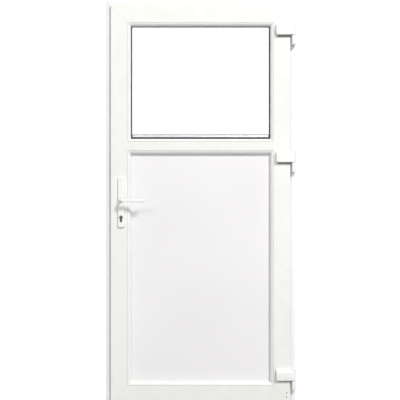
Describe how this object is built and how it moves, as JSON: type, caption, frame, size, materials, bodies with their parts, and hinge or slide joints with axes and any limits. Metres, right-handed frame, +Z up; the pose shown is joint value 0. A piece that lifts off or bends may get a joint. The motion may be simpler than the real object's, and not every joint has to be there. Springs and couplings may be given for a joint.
{
  "type": "exterior door",
  "caption": "White plastic door set: an inward-opening leaf with glazing over a flat panel, flag hinges, a lever handle on a long plate and a low aluminium threshold.",
  "frame": {"origin": "middle of the threshold's underside, at half the frame's width and depth", "axes": "+Z up, +Y from the room side to the outside, +X towards the hinges seen from the room"},
  "size_m": [0.98, 0.196, 2.09],
  "materials": {
    "white_profile": "satin",
    "white_bead": "satin",
    "panel_skin": "satin",
    "foam_core": "foamed",
    "dark_gasket": "matt",
    "grey_gasket": "matt",
    "brush_pile": "pile",
    "clear_glass": "polished",
    "spacer_metal": "mill",
    "dark_plastic": "matt",
    "threshold_metal": "anodised",
    "zinc_steel": "zinc plated",
    "cylinder_metal": "satin nickel",
    "white_fitting": "powder coated"
  },
  "bodies": {
    "frame": {"frame_jamb_lock_side": "white_profile", "frame_jamb_hinge_side": "white_profile", "frame_head": "white_profile", "threshold_base": "dark_plastic", "threshold_rail": "threshold_metal", "frame_stop_seal": "dark_gasket", "keep_plates": "zinc_steel", "hinge_frame_parts": "white_fitting", "hinge_pins": "zinc_steel"},
    "leaf": {"leaf_stile_lock_side": "white_profile", "leaf_stile_hinge_side": "white_profile", "leaf_rail_top": "white_profile", "leaf_rail_bottom": "white_profile", "leaf_transom": "white_profile", "beads_upper_sides": "white_bead", "beads_upper_ends": "white_bead", "beads_lower_sides": "white_bead", "beads_lower_ends": "white_bead", "gasket_inside_upper": "dark_gasket", "gasket_outside_upper": "dark_gasket", "gasket_inside_lower": "grey_gasket", "gasket_outside_lower": "grey_gasket", "glass_pane_inside": "clear_glass", "glass_pane_outside": "clear_glass", "glass_spacer": "spacer_metal", "panel_skins": "panel_skin", "panel_core": "foam_core", "setting_blocks": "dark_plastic", "leaf_lip_seal": "dark_gasket", "bottom_seal_carrier": "white_bead", "bottom_brushes": "brush_pile", "weather_bar": "white_bead", "lock_faceplate": "zinc_steel", "lock_bolts": "zinc_steel", "lock_cylinder": "cylinder_metal", "handle_plate_inside": "white_fitting", "handle_plate_outside": "white_fitting", "hinge_leaf_parts": "white_fitting"},
    "handle": {"lever_inside": "white_fitting", "lever_outside": "white_fitting", "handle_spindle": "zinc_steel"}
  },
  "joints": [
    {"name": "leaf_swing", "type": "hinge", "parent": "frame", "child": "leaf", "pos_m": [0.478, -0.06, 0], "axis": [0, 0, 1], "range_deg": [0, 110]},
    {"name": "handle_turn", "type": "hinge", "parent": "leaf", "child": "handle", "pos_m": [-0.407, 0, 1.059], "axis": [0, 1, 0], "range_deg": [-40, 40], "stiffness_Nm_per_rad": 1.2}
  ]
}
